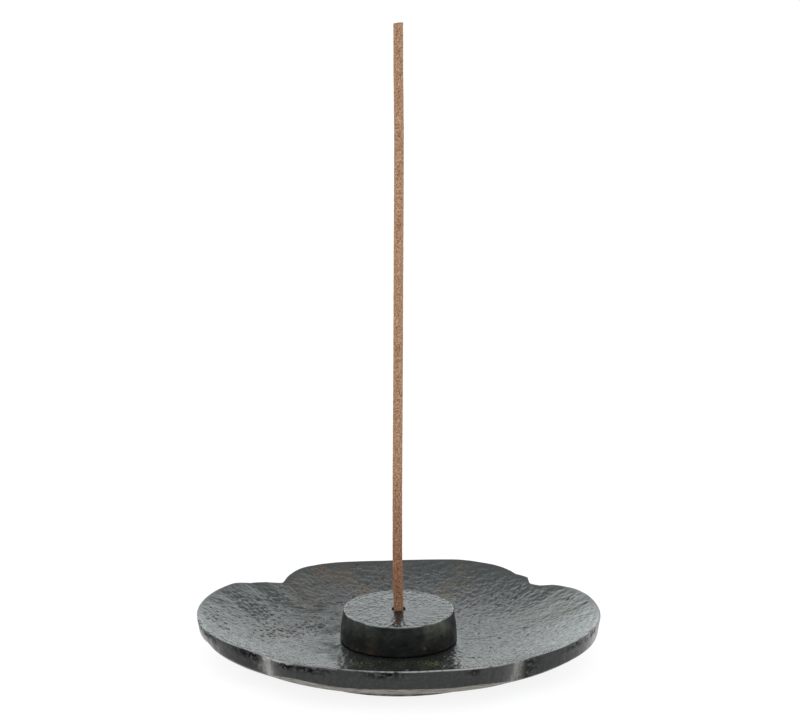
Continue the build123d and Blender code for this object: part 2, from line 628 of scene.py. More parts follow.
@dataclass
class LobedPlan:
    """Outline of the dish at the height of its rim: two end lobes, two side lobes and four notches."""

    length: float = 89.2
    width: float = 73.6
    # Each corner has an angle in degrees from X, on the round blank, and a share of the oval's reach there
    end_corner: tuple[float, float] = (36.4, 0.995)
    notch: tuple[float, float] = (47.9, 0.931)
    side_corner: tuple[float, float] = (57.0, 1.023)
    skew_angle: float = 2.2
    end_shoulder_share: float = 0.18
    side_shoulder_share: float = 0.19
    notch_round: float = 1.2
    # How closely points are laid, and how far from a notch and how much more closely there
    fine_step: float = 0.05
    notch_reach: float = 2.0
    notch_density: float = 2.0

    def oval_point(self, angle: float, share: float) -> np.ndarray:
        """Give the point at a share of the oval's reach, at an angle of the round blank less the skew."""
        turn = math.radians(angle - self.skew_angle)
        return np.array([self.length / 2 * math.cos(turn), self.width / 2 * math.sin(turn)]) * share

    def legs(self) -> list[Leg]:
        """Lay the plan's legs, with their corners still sharp.

        Returns:
            The twelve legs, counterclockwise from the back corner of the right end lobe.
        """
        marks = (self.end_corner, self.notch, self.side_corner)
        back = [self.oval_point(angle, share) for angle, share in marks]
        back += [self.oval_point(180 - angle, share) for angle, share in reversed(marks)]
        corners = back + [-corner for corner in back]
        legs = [Leg(corner, corners[(i + 1) % len(corners)]) for i, corner in enumerate(corners)]
        side_end, right_end = self.oval_point(90, 1), np.array([self.length / 2, 0])
        for lobe, middle in zip(legs[2::3], (side_end, -right_end, -side_end, right_end)):
            lobe.centre = circle_centre(lobe.start, middle, lobe.end)
        return legs

    def notches(self) -> np.ndarray:
        """Give the sharp bottoms of the four notches."""
        return np.array([leg.start for leg in self.legs()[1::3]])

    def rounding(self, before: Leg, after: Leg, radius: float) -> np.ndarray:
        """Give the centre of the arc that rounds the corner between two legs.

        Args:
            before: The leg that ends at the corner.
            after: The leg that starts there.
            radius: Radius of the rounding, below 0 where it fills a hollow corner.

        Returns:
            The arc's centre.
        """
        lines = [leg for leg in (before, after) if leg.centre is None]
        points = [leg.start + radius * np.array([-leg.run[1], leg.run[0]]) for leg in lines]
        if len(lines) == 2:
            ways = np.array([lines[0].run, -lines[1].run]).T
            return points[0] + lines[0].run * np.linalg.solve(ways, points[1] - points[0])[0]
        curve = before if before.centre is not None else after
        foot = points[0] + lines[0].run * ((curve.centre - points[0]) @ lines[0].run)
        half = math.sqrt((curve.radius - radius) ** 2 - np.sum((foot - curve.centre) ** 2))
        both = [foot + way * half * lines[0].run for way in (1, -1)]
        return min(both, key=lambda point: np.linalg.norm(point - after.start))

    def points(self, columns: int) -> tuple[np.ndarray, np.ndarray]:
        """Give points round the outline, closer together at the notches.

        Args:
            columns: How many points.

        Returns:
            The points and their outward unit normals, one to a row.
        """
        legs = self.legs()
        end_round, side_round = self.length * self.end_shoulder_share, self.width * self.side_shoulder_share
        radii = [end_round, -self.notch_round, side_round, side_round, -self.notch_round, end_round] * 2
        centres = [self.rounding(legs[i - 1], leg, radii[i]) for i, leg in enumerate(legs)]
        pieces = []
        for i, leg in enumerate(legs):
            centre, start, end = centres[i], leg.touch(centres[i]), leg.touch(centres[(i + 1) % len(legs)])
            count = max(FEWEST_ROUND_CORNER, int(abs(radii[i]) / self.fine_step))
            pieces.append(arc_points(centre, legs[i - 1].touch(centre), start, np.arange(count) / count))
            pieces.append(leg.between(start, end, self.fine_step))
        fine = np.concatenate(pieces)
        closed = np.concatenate([fine, fine[:1]])
        middles = (closed[1:] + closed[:-1]) / 2
        nearest = np.min(np.linalg.norm(middles[:, None] - self.notches(), axis=2), axis=1)
        density = 1 + self.notch_density * np.exp(-(nearest / self.notch_reach) ** 2)
        along = np.append(0, np.cumsum(np.linalg.norm(np.diff(closed, axis=0), axis=1) * density))
        places = np.linspace(0, along[-1], columns, endpoint=False)
        spread = np.stack([np.interp(places, along, closed[:, k]) for k in (0, 1)], axis=-1)
        tangent = unit(np.roll(spread, -1, axis=0) - np.roll(spread, 1, axis=0))
        return spread, np.stack([tangent[:, 1], -tangent[:, 0]], axis=-1)


@dataclass
class Dish:
    """The lobed dish, one casting."""

    plan: LobedPlan = field(default_factory=LobedPlan)
    height: float = 9.9
    floor_top: float = 4.0
    floor_half_width: float = 15.4
    wall_height: float = 3.9
    wall_draft_angle: float = 10.0
    rim_round: float = 0.25
    wall_foot_round: AngleTable = ((0, 0.6), (165, 0.6), (182, 1.4), (208, 1.6), (220, 0.6))
    belly_flat_share: float = 0.635
    foot_radius: float = 26.2
    foot_ring_width: float = 4.5
    foot_height: float = 0.8
    foot_round: float = 0.1

    # Where the casting, dressed by hand, falls short of its even plan, or runs past it where a length is
    # below 0: rim drawn in, rim lower, wall shorter
    rim_short: AngleTable = (
        (0, 0.06), (33, 0.06), (36.5, 0.45), (40, 0.06), (43, -0.28), (45.5, 0.35), (48, 0.9), (52, 0.88),
        (56, 0.75), (60, 0.5), (66, 0.2), (72, 0.1), (112, 0.1), (120, 0.3), (126, 0.1), (134, 0.06),
        (140, 0.3), (146, 0.3), (152, 0.1), (160, 0.06),
    )
    rim_low: AngleTable = (
        (0, -0.3), (10, -0.2), (17, -0.28), (22, -0.12), (28, 0.08), (36, -0.12), (60, -0.26), (70, -0.28),
        (84, 0.13), (96, 0.42), (112, 0.5), (121, 0.58), (128, 0.48), (132, 0.42), (136, 0.64), (141, 0.28),
        (146, 0.5), (151, 0.12), (160, 0), (172, -0.1), (182, -0.2), (190, -0.25), (215, -0.3),
        (221, -0.12), (223.5, 0.04), (226, 0.15), (232, 0.23), (240, 0.32), (246, 0.23), (252, 0.05),
        (265, 0.1), (275, 0.1), (285, 0.05), (291, 0.15), (296, 0.28), (302, 0.34), (308, 0.2), (312, 0.05),
        (320, -0.05), (330, -0.15), (336, -0.32), (344, -0.42), (352, -0.4),
    )
    wall_short: AngleTable = (
        (0, 0.4), (20, 0.3), (40, 0), (140, 0.2), (165, 0.6), (180, 0.7), (190, 1.05), (195, 1.4),
        (200, 0.8), (206, 0.5), (212, 0.4), (222, 0.5), (232, 0.28), (240, 0), (250, -0.35), (265, -0.18),
        (275, -0.15), (290, -0.4), (305, -0.35), (314, 0.08), (325, 0.1), (340, 0.3),
    )
    # The lowering of the rim fades towards the floor by this power of the bowl's rise
    rim_low_power: float = 0.5
    # How far the bowl's skin rolls over towards the rim, from a share of its rise on
    rim_roll: AngleTable = (
        (0, 0.18), (20, 0.12), (40, 0), (150, 0), (172, 0.14), (195, 0.18), (215, 0.14), (235, 0), (315, 0),
        (335, 0.16),
    )
    rim_roll_start: float = 0.8

    # How the mesh is laid: rings and points, rounds of finding an edge, and shares of a radius or a height
    columns: int = 960
    bowl_rings: int = 180
    rim_rings: int = 6
    wall_rings: int = 14
    foot_rings: int = 4
    belly_rings: int = 18
    foot_round_rings: int = 3
    edge_rounds: int = 3
    first_ring_share: float = 0.03
    foot_side_shares: tuple[float, ...] = (0.75, 0.5)
    recess_shares: tuple[float, ...] = (1, 0.97, 0.8, 0.6, 0.4, 0.2, 0.05)

    swell_size: float = 2.6
    swell_height: float = 0.11
    ripple_size: float = 0.85
    ripple_height: float = 0.12
    # Ribs that run in from the rim of the end lobes
    rib_size: float = 0.8
    rib_length: float = 5.0
    rib_height: float = 0.06
    rib_band: tuple[float, float, float, float] = (0.6, 1.6, 4.0, 8.0)
    rib_ends: tuple[float, float] = (0.55, 0.8)
    pit_size: float = 0.9
    pit_depth: float = 0.17
    pit_edge: tuple[float, float] = (0.0, 0.22)
    pit_rarity: float = 0.6
    pit_shade: float = 0.32
    # Where the skin is smoother, on the floor in front of the stand and towards the right end
    calm: tuple[Patch, ...] = (
        Patch(12, -14, 13.0, 0.4), Patch(-12, -14, 13.0, 0.45), Patch(26, 13, 13.0, 0.28),
    )
    rim_fade: float = 0.9
    # The floor is even where the edge of the stand's base rests, and a little lower under the stand
    stand_seat: tuple[float, float] = (12.6, 14.2)
    under_stand: tuple[float, float] = (11.0, 12.4)
    under_stand_drop: float = 0.2
    # Marks of the file on the wall, drawn out along its height by a share
    file_mark: float = 0.04
    file_mark_size: float = 1.1
    file_mark_draw: float = 0.2
    # Chips along the rim, which also eat into the bowl by a share of their depth, with a painted shadow in
    # them that fades out down the wall over a band
    chip_size: float = 1.3
    chip_edge: tuple[float, float] = (-0.12, 0.2)
    chip_depth: float = 0.6
    chip_bowl_share: float = 0.3
    chip_shadow: float = 1.0
    chip_shadow_band: tuple[float, float] = (0.7, 1.6)

    # Where rust blooms, in clouds that are denser in some places than in others
    rusted: tuple[Patch, ...] = (
        Patch(-12.8, 30.4, 2.8, 1.0), Patch(-17.5, 32, 3.0, 0.6), Patch(-8.5, 27.6, 2.4, 1.2),
        Patch(-20, 20, 3.0, 0.7), Patch(-22, 26, 4.0, 0.3), Patch(12, 25.8, 3.2, 0.85),
        Patch(30, 9.5, 4.5, 0.6), Patch(13.2, 32.4, 1.8, 0.35), Patch(36, 11, 3.0, 0.5),
        Patch(-25, 5, 4.0, 0.2), Patch(-29, -4, 4.0, 0.2), Patch(-2, 32, 4.0, 0.3),
        Patch(8, -16, 3.0, 0.75), Patch(0, -17, 3.5, 0.45), Patch(-8, -16, 3.5, 0.5),
        Patch(14, -13, 2.5, 0.4),
    )
    cloud_size: float = 2.4
    cloud_mean: float = 0.6
    cloud_depth: float = 0.9
    # Rust turns olive from the first of these places along Y, or along X, to the second
    olive_front: tuple[float, float] = (12.0, -12.0)
    olive_right: tuple[float, float] = (0.0, 24.0)
    # Where pits gather
    pitted: tuple[Patch, ...] = (
        Patch(-36.5, 15, 2.4, 0.65), Patch(-33, 11.5, 3.0, 0.7), Patch(-28, 17.5, 3.2, 0.6),
        Patch(-40.5, 1, 2.2, 0.75), Patch(-38.5, -4, 2.2, 0.6), Patch(-30, -2.5, 3.5, 0.4),
        Patch(-27, 1, 3.5, 0.35), Patch(-23, 3.5, 2.4, 0.5), Patch(-18.5, 7.5, 3.5, 0.55),
        Patch(-30, 8, 5.0, 0.35), Patch(15, -12, 4.0, 0.2), Patch(0, 29, 14.0, 0.3),
        Patch(24, 22, 8.0, 0.25),
    )
    # Where the sand grain shows most, and how much of it shows everywhere
    grainy: tuple[Patch, ...] = (
        Patch(0, 29, 13.0, 0.95), Patch(-19, 24, 9.0, 0.9), Patch(19, 24, 9.0, 0.4),
        Patch(-29, 5, 11.0, 0.5), Patch(35, -9, 9.0, -0.1), Patch(-36, -14, 7.0, -0.1),
    )
    grainy_all_over: float = 0.15
    # Where a dull film lies on the skin
    filmed: tuple[Patch, ...] = (
        Patch(-17, 15, 7.0, 0.36), Patch(-24, 19, 5.0, 0.2), Patch(-15, 6, 4.0, 0.6),
        Patch(-15, -6, 4.5, 0.6), Patch(-13, -14, 3.0, 0.5), Patch(-24, 6, 5.0, 0.12),
        Patch(-16, 23, 5.0, 0.2),
    )
    # Front edges of the rim that are chipped
    chipped: tuple[Patch, ...] = (
        Patch(-43, -6, 4.0, 1.0), Patch(-40, -13, 4.0, 0.9), Patch(-33, -22, 3.0, 0.9),
        Patch(-23.5, -30, 2.4, 0.7), Patch(-16, -33.5, 2.4, 0.6), Patch(42, -10, 4.0, 1.0),
        Patch(38, -17, 3.0, 0.8),
    )
    # Where soot lies below the rim, and where it covers the whole wall
    sooty: tuple[Patch, ...] = (
        Patch(-43, -6, 4.0, 1.0), Patch(-40, -13, 4.0, 1.0), Patch(-33, -22, 3.0, 1.0),
        Patch(-23.5, -30, 2.4, 1.0), Patch(-18, -32.5, 4.0, 1.0), Patch(-2.5, -36.5, 4.0, 1.0),
        Patch(17, -33.5, 1.5, 0.8), Patch(42, -10, 4.0, 1.0), Patch(38, -17, 3.0, 0.9),
    )
    soot_band: tuple[float, float] = (0.8, 2.2)
    smoked: tuple[Patch, ...] = (Patch(29.2, -25.2, 1.8, 0.7), Patch(-31.4, -24.4, 1.6, 0.9))
    soot_all_over: float = 0.15
    # Where the file cut to bare iron: low on the wall at the left end, at the right end and by a notch,
    # and how far the bare iron spreads round the notches themselves
    filed_bare: tuple[Patch, ...] = (
        Patch(-43.6, -5, 1.4, 0.9, 7.0), Patch(-43, -8, 1.4, 0.9, 6.9), Patch(-42.2, -11, 1.4, 0.9, 6.8),
        Patch(-41.2, -14, 1.3, 0.8, 6.6), Patch(-40, -17, 1.2, 0.6, 6.4), Patch(42.5, -6, 6.0, 0.8),
        Patch(-28.2, -26, 1.6, 0.7),
    )
    notch_bare_reach: float = 1.6
    notch_bare: float = 0.65
    # Where a painted highlight in bare iron's colour runs along the rim's edge, and how much paler the edge
    # below the wall grows
    rim_highlight: tuple[Patch, ...] = (
        Patch(0, -36.5, 13.0, 0.8), Patch(17, -33, 10.0, 0.8), Patch(-26, -29, 6.0, 0.9),
        Patch(41, -12, 6.0, 0.4), Patch(-42, -8, 6.0, 0.4),
    )
    edge_highlight: float = 0.85
    wall_foot_paling: float = 0.8
    # The painted highlight and the paling come and go along the edges
    patchy_size: float = 1.4
    patchy_edge: tuple[float, float] = (-0.9, 0.1)

    bowl_skin: CastSkin = CastSkin("black_cast_iron_bowl")
    wall_skin: FiledWall = FiledWall("black_cast_iron_filed")
    foot_skin: TurnedIron = TurnedIron("turned_iron_underside")

    def rise(self, points: np.ndarray, flat: float, full: float) -> np.ndarray:
        """Give the rise of a skin that leaves an oval flat middle along an arc.

        Args:
            points: Places in plan.
            flat: Half length of the flat middle.
            full: Rise at the ends of the dish.

        Returns:
            The rise at each point.
        """
        across = points[..., 1] * self.plan.length / self.plan.width
        run = np.maximum(np.hypot(points[..., 0], across) - flat, 0)
        known = self.plan.length / 2 - flat
        radius = (known ** 2 + full ** 2) / (2 * full)
        return radius - np.sqrt(radius ** 2 - run ** 2)

    def bowl(self, points: np.ndarray) -> np.ndarray:
        """Give the height of the bowl's skin.

        Args:
            points: Places in plan.

        Returns:
            The height at each point.
        """
        flat = self.floor_half_width * self.plan.length / self.plan.width
        rise = self.rise(points, flat, self.height - self.floor_top)
        share = rise / (self.height - self.floor_top)
        roll = by_angle(self.rim_roll, points) * smooth_step(self.rim_roll_start, 1, share)
        return self.floor_top + rise - by_angle(self.rim_low, points) * share ** self.rim_low_power - roll

    def belly(self, points: np.ndarray) -> np.ndarray:
        """Give the height of the underside at points in plan."""
        flat = self.plan.length / 2 * self.belly_flat_share
        return self.foot_height + self.rise(points, flat, self.height - self.wall_height - self.foot_height)

    def edge(self, skin: Callable[[np.ndarray], np.ndarray], outline: np.ndarray,
             normals: np.ndarray) -> tuple[np.ndarray, np.ndarray]:
        """Find where the leaning wall meets the bowl or the underside.

        Args:
            skin: Height of the bowl or the underside.
            outline: The plan's points.
            normals: Their outward normals.

        Returns:
            The sharp edge's points, with heights, and the way in from them along the skin.
        """
        lean = math.tan(math.radians(self.wall_draft_angle))
        points = outline
        for _ in range(self.edge_rounds):
            points = outline + normals * ((skin(points) - self.height) * lean)[:, None]
        height = skin(points)
        inside = points - normals * self.rim_round
        way_in = unit(np.column_stack([inside - points, skin(inside) - height]))
        return np.column_stack([points, height]), way_in

    def sections(self) -> tuple[np.ndarray, list[DishFace], np.ndarray]:
        """Lay the rings of the dish, from the floor's middle over the rim to the underside's middle.

        Returns:
            The stack of rings, the finish of each strip between them, and how deeply the rim is chipped.
        """
        even, normals = self.plan.points(self.columns)
        outline = even - unit(even) * by_angle(self.rim_short, even)[:, None]
        rim, bowl_in = self.edge(self.bowl, outline, normals)
        wall_foot, belly_in = self.edge(self.belly, outline, normals)
        down = unit(wall_foot - rim)
        wall_foot = wall_foot - down * by_angle(self.wall_short, even)[:, None]
        broken = smooth_step(*self.chip_edge, relief(rim, self.chip_size, Pattern.RIM_CHIPS))
        chipped = broken * patches_at(self.chipped, rim)
        chips = chipped * self.chip_depth
        rim_turn = np.arccos(np.sum(bowl_in * down, axis=1))
        foot_turn = np.arccos(-np.sum(belly_in * down, axis=1))
        rim_cut = self.rim_round / np.tan(rim_turn / 2) + self.chip_bowl_share * chips
        foot_cut = by_angle(self.wall_foot_round, even) / np.tan(foot_turn / 2)
        rim_start, wall_top = rim + bowl_in * rim_cut[:, None], rim + down * (rim_cut + chips)[:, None]
        wall_end = wall_foot - down * foot_cut[:, None]
        belly_start = wall_foot + belly_in * foot_cut[:, None]
        rings = []
        for share in np.linspace(self.first_ring_share, 1, self.bowl_rings):
            plan = rim_start[:, :2] * share
            rings.append(np.column_stack([plan, self.bowl(plan)]))
        rings += rounded(rim_start, rim, wall_top, self.rim_rings)
        rings += [wall_top + (wall_end - wall_top) * share
                  for share in np.linspace(0, 1, self.wall_rings + 1)[1:]]
        rings += rounded(wall_end, wall_foot, belly_start, self.foot_rings)
        in_bowl = self.bowl_rings - 1 + self.rim_rings // 2
        in_wall = self.rim_rings - self.rim_rings // 2 + self.wall_rings + self.foot_rings
        below = self.foot_sections(belly_start)
        finish = [DishFace.BOWL] * in_bowl + [DishFace.WALL] * in_wall + [DishFace.UNDERSIDE] * len(below)
        return np.array(rings + below), finish, chipped

    def foot_sections(self, belly_start: np.ndarray) -> list[np.ndarray]:
        """Lay the rings of the underside and its foot ring.

        Args:
            belly_start: The ring where the underside starts.

        Returns:
            The rings after that one, to the middle.
        """
        plan = belly_start[:, :2]
        away, lift = unit(plan), belly_start[:, 2] - self.belly(plan)
        rings = []
        for share in np.linspace(0, 1, self.belly_rings)[1:]:
            here = plan * (1 - share) + away * self.foot_radius * share
            rings.append(np.column_stack([here, self.belly(here) + lift * (1 - share) ** 2]))
        outer, inner, turn = self.foot_radius, self.foot_radius - self.foot_ring_width, self.foot_round
        section = [(outer, share * self.foot_height) for share in self.foot_side_shares]
        corners = [[(outer, turn), (outer, 0), (outer - turn, 0)],
                   [(inner + turn, 0), (inner, 0), (inner, turn)]]
        for corner in np.array(corners):
            section += [corner[0], *rounded(*corner, self.foot_round_rings)]
        section += [(inner * share, self.foot_height) for share in self.recess_shares]
        return rings + [np.column_stack([away * r, np.full(len(away), z)]) for r, z in section]

    def pits(self, bowl: np.ndarray) -> np.ndarray:
        """Give how deep the bowl's pits are.

        Args:
            bowl: Rings of the bowl.

        Returns:
            A share of the full depth at each point, from 0 to 1.
        """
        shape = relief(bowl * IN_PLAN, self.pit_size, Pattern.DISH_PITS)
        return smooth_step(*self.pit_edge, shape + patches_at(self.pitted, bowl) - self.pit_rarity)

    def ribs(self, bowl: np.ndarray, inward: np.ndarray) -> np.ndarray:
        """Give the ribs that run in from the rim of the end lobes.

        Args:
            bowl: Rings of the bowl.
            inward: How far each point lies in from the rim.

        Returns:
            Their height at each point, about -1 to 1.
        """
        away = unit(bowl[..., :2])
        across = away * self.plan.length / 2 / self.rib_size
        # The places are in spacings of the ribs already
        shape = relief(np.concatenate([across, inward[..., None] / self.rib_length], axis=2), 1,
                       Pattern.DISH_RIBS)
        start, full, fading, end = self.rib_band
        band = smooth_step(start, full, inward) * (1 - smooth_step(fading, end, inward))
        return shape * band * smooth_step(*self.rib_ends, np.abs(away[..., 0]))

    def roughen(self, stack: np.ndarray, pits: np.ndarray) -> None:
        """Give the skin its ripples, ribs, pits and file marks, in place.

        Args:
            stack: All rings of the dish.
            pits: How deep the bowl's pits are.
        """
        bowl = stack[:self.bowl_rings]
        reach = np.linalg.norm(bowl[..., :2], axis=2)
        inward = reach[-1] - reach
        flat = bowl * IN_PLAN
        bumps = relief(flat, self.swell_size, Pattern.DISH_SWELL) * self.swell_height
        bumps += relief(flat, self.ripple_size, Pattern.DISH_RIPPLE) * self.ripple_height
        bumps *= 1 - patches_at(self.calm, bowl)
        bumps += self.ribs(bowl, inward) * self.rib_height - pits * self.pit_depth
        under = (1 - smooth_step(*self.under_stand, reach)) * (bumps - self.under_stand_drop)
        beside = bumps * smooth_step(*self.stand_seat, reach)
        bowl[..., 2] += smooth_step(0, self.rim_fade, inward) * (beside + under - self.ripple_height / 2)
        wall = stack[self.bowl_rings + self.rim_rings // 2:][:self.rim_rings + self.wall_rings]
        drawn = wall * (1, 1, self.file_mark_draw)
        # Less 1, so that the file only cuts inwards
        marks = relief(drawn, self.file_mark_size, Pattern.FILE_MARKS, FINE_OCTAVES) - 1
        wall[..., :2] += unit(wall[..., :2]) * (marks * self.file_mark)[..., None]

    def bright_edges(self, stack: np.ndarray) -> np.ndarray:
        """Give the painted highlight along the rim's edge, and how much paler the foot of the wall grows.

        Args:
            stack: All rings of the dish.

        Returns:
            The painted highlight and the paling at each point, from 0 to 1.
        """
        bright_edge = np.zeros(stack.shape[:2])
        rim_end = self.bowl_rings + self.rim_rings
        wall_end = rim_end + self.wall_rings
        rim_highlight = np.minimum(patches_at(self.rim_highlight, stack[self.bowl_rings]), 1)
        # Painted highlight over the rim's rounding
        bright_edge[self.bowl_rings:rim_end - 1] = rim_highlight * self.edge_highlight
        growing = np.linspace(0, 1, self.foot_rings)[:, None]
        # The foot of the wall grows paler towards the underside
        bright_edge[wall_end:wall_end + self.foot_rings] = growing * self.wall_foot_paling
        return bright_edge * smooth_step(*self.patchy_edge, relief(stack, self.patchy_size, Pattern.RIM_HIGHLIGHT))

    def marks(self, stack: np.ndarray, pits: np.ndarray, chipped: np.ndarray) -> dict[str, np.ndarray]:
        """Give the amounts of rust bloom, pitting with the painted shadow in the chips, grain, bare iron,
        soot and bright edges at each point.

        Args:
            stack: All rings of the dish.
            pits: How deep the bowl's pits are.
            chipped: How deeply the rim is chipped.

        Returns:
            Each amount by its name.
        """
        cloud = self.cloud_mean + self.cloud_depth * relief(stack, self.cloud_size, Pattern.RUST_CLOUD)
        nearest = np.min(np.linalg.norm(stack[:, :, None, :2] - self.plan.notches(), axis=3), axis=2)
        bare = self.notch_bare * np.exp(-(nearest / self.notch_bare_reach) ** 2)
        pitted = np.zeros(stack.shape[:2])
        pitted[:self.bowl_rings] = pits * self.pit_shade
        mottle = relief(stack, self.swell_size, Pattern.DISH_FILM, FINE_OCTAVES)
        film = patches_at(self.filmed, stack) * (1 + mottle)
        reach = np.linalg.norm(stack[..., :2], axis=2)
        rim_fade = smooth_step(0, self.rim_fade, reach[self.bowl_rings - 1] - reach)
        below_rim = stack[self.bowl_rings - 1, :, 2] - stack[..., 2]
        # Painted shadow in the rim's chips, fading out down the wall
        chips = chipped * self.chip_shadow * (1 - smooth_step(*self.chip_shadow_band, below_rim))
        pitted[self.bowl_rings - 1:] = chips[self.bowl_rings - 1:]
        soot = patches_at(self.sooty, stack) * (1 - smooth_step(*self.soot_band, below_rim))
        return {
            "bloom": patches_at(self.rusted, stack) * cloud,
            "olive": np.maximum(smooth_step(*self.olive_front, stack[..., 1]),
                                smooth_step(*self.olive_right, stack[..., 0])),
            "pitted": np.maximum(pitted, film),
            "grainy": (patches_at(self.grainy, stack) + self.grainy_all_over) * rim_fade,
            "bare": bare + patches_at(self.filed_bare, stack),
            "soot": soot + patches_at(self.smoked, stack) + self.soot_all_over,
            "bright_edge": self.bright_edges(stack),
        }

    def build(self) -> bpy.types.Object:
        """Make the dish's mesh.

        Returns:
            The piece, still without its finishes.
        """
        stack, finish, chipped = self.sections()
        pits = self.pits(stack[:self.bowl_rings])
        marks = self.marks(stack, pits, chipped)
        self.roughen(stack, pits)
        return ring_piece("iron_dish", stack, [int(face) for face in finish], **marks)

    def dress(self, piece: bpy.types.Object) -> None:
        """Give the dish its finishes and its place in the frame.

        Args:
            piece: The dish's mesh.
        """
        for skin in (self.bowl_skin, self.wall_skin, self.foot_skin):
            piece.data.materials.append(skin.material())
        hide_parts("dish")
        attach(piece, "dish")


@dataclass
class StickStand:
    """The loose round stand with its bore."""

    base_radius: float = 12.9
    top_radius: float = 12.1
    base: float = 4.0
    top: float = 11.0
    top_round: float = 0.3
    base_round: float = 0.45
    bore_radius: float = 1.5
    bore_depth: float = 5.0
    mouth_round: float = 0.25

    columns: int = 400
    bore_rings: int = 12
    top_rings: int = 46
    round_rings: int = 5
    side_rings: int = 26
    bore_floor_shares: tuple[float, ...] = (0.3, 0.7)
    base_shares: tuple[float, ...] = (0.8, 0.5, 0.2)

    swell_size: float = 2.4
    swell_height: float = 0.06
    ripple_size: float = 0.8
    ripple_height: float = 0.11
    ripple_rise: tuple[float, float] = (0.0, 2.5)
    # The side has a share of the bumps, is set in by a share of their height, and is even at the base
    side_bump_share: float = 0.4
    side_inset_share: float = 0.6
    base_even: float = 1.0
    # Where the top is smoother, in front of the bore and to its right
    calm: tuple[Patch, ...] = (
        Patch(0, -4.6, 3.4, 0.8), Patch(0, -8.6, 2.6, 0.4), Patch(5.5, -1.5, 3.6, 0.6),
    )
    tool_ring_pitch: float = 0.9
    tool_ring_height: float = 0.04
    tool_ring_reach: float = 2.4
    # A raised lip round the bore, highest in one direction and never less than a share of that
    lip_height: float = 0.06
    lip_place: float = 0.6
    lip_width: float = 0.35
    lip_way: tuple[float, float] = (0.7, 0.7)
    lip_start: float = -0.2
    lip_least: float = 0.3
    groove_radius: float = 11.15
    groove_width: float = 0.25
    groove_depth: float = 0.06
    # The painted highlight along the top's edge, how far below the top it lies, and how it comes and goes
    edge_highlight: float = 0.5
    edge_drop: float = 0.1
    edge_width: float = 0.18
    patchy_size: float = 3.0
    patchy_edge: tuple[float, float] = (-0.5, 0.3)
    grainy: float = 0.27
    side_film: float = 0.65
    film_mottle: float = 0.5
    # Rust turns olive from the first of these heights to the second
    olive_rise: tuple[float, float] = (5.2, 7.4)

    rusted: tuple[Patch, ...] = (
        Patch(6.0, -11.4, 0.4, 1.0, 5.7), Patch(6.2, -11.3, 1.7, 0.3, 6.5),
        Patch(-10.2, -7.9, 0.6, 0.5, 4.5), Patch(-9, -9.2, 0.6, 0.4, 4.5), Patch(-6, -11.2, 1.0, 0.2, 4.6),
        Patch(9.8, -7.5, 3.2, 1.0, 10), Patch(6.5, -10.4, 2.2, 0.6, 10.2), Patch(-7, -10.3, 3.0, 0.3, 9.8),
        Patch(-10.4, -6.6, 2.8, 0.5, 10.2), Patch(-5.5, -11.3, 2.0, 0.2, 6.2),
    )
    skin: CastSkin = CastSkin(
        "black_cast_iron_stand", black="#0c0d0e", grey="#171815", rust="#6a4a2c", ochre="#5c5e50",
        roughness=(0.18, 0.3), ior=1.55, speck_size=2.0, specks=(0.32, 0.58))

    def side(self, height: float) -> float:
        """Give the radius of the side, an arc that starts upright at the base.

        Args:
            height: A height between the base and the top.

        Returns:
            The radius there.
        """
        rise, inward = self.top - self.base, self.base_radius - self.top_radius
        bend = (rise ** 2 + inward ** 2) / (2 * inward)
        return self.base_radius - bend + math.sqrt(bend ** 2 - (height - self.base) ** 2)

    def section(self) -> np.ndarray:
        """Lay the section from the middle of the bore's floor over the top to the middle of the base.

        Returns:
            Radius and height of each point along it.
        """
        floor, mouth = self.top - self.bore_depth, self.top - self.mouth_round
        high, low = self.top - self.top_round, self.base + self.base_round
        lip, rim = self.bore_radius + self.mouth_round, self.top_radius - self.top_round
        points = [(self.bore_radius * share, floor) for share in self.bore_floor_shares]
        points += [(self.bore_radius, height) for height in np.linspace(floor, mouth, self.bore_rings)]
        bore_edge = np.array([points[-1], (self.bore_radius, self.top), (lip, self.top)])
        points += rounded(*bore_edge, self.round_rings)
        points += [(radius, self.top) for radius in np.linspace(lip, rim, self.top_rings)[1:]]
        top_edge = np.array([points[-1], (self.top_radius, self.top), (self.side(high), high)])
        points += rounded(*top_edge, self.round_rings)
        points += [(self.side(height), height) for height in np.linspace(high, low, self.side_rings)[1:]]
        base_end = (self.base_radius - self.base_round, self.base)
        base_edge = np.array([points[-1], (self.base_radius, self.base), base_end])
        points += rounded(*base_edge, self.round_rings)
        points += [(self.base_radius * share, self.base) for share in self.base_shares]
        return np.array(points)

    def tooling(self, reach: np.ndarray, turn: np.ndarray) -> np.ndarray:
        """Give the tool rings and the lip round the bore, and the groove along the edge of the top.

        Args:
            reach: Radius of each ring of points.
            turn: Unit direction of each point round a ring.

        Returns:
            How far they raise each point of the top.
        """
        from_bore = reach - self.bore_radius
        waves = np.cos(2 * math.pi * from_bore / self.tool_ring_pitch)
        rings = waves * np.exp(-from_bore / self.tool_ring_reach)
        facing = smooth_step(self.lip_start, 1, turn @ unit(np.array(self.lip_way)))
        behind = self.lip_least + (1 - self.lip_least) * facing
        lip = np.exp(-((from_bore - self.lip_place) / self.lip_width) ** 2) * self.lip_height * behind
        groove = np.exp(-((reach - self.groove_radius) / self.groove_width) ** 2) * self.groove_depth
        return rings * self.tool_ring_height + lip - groove

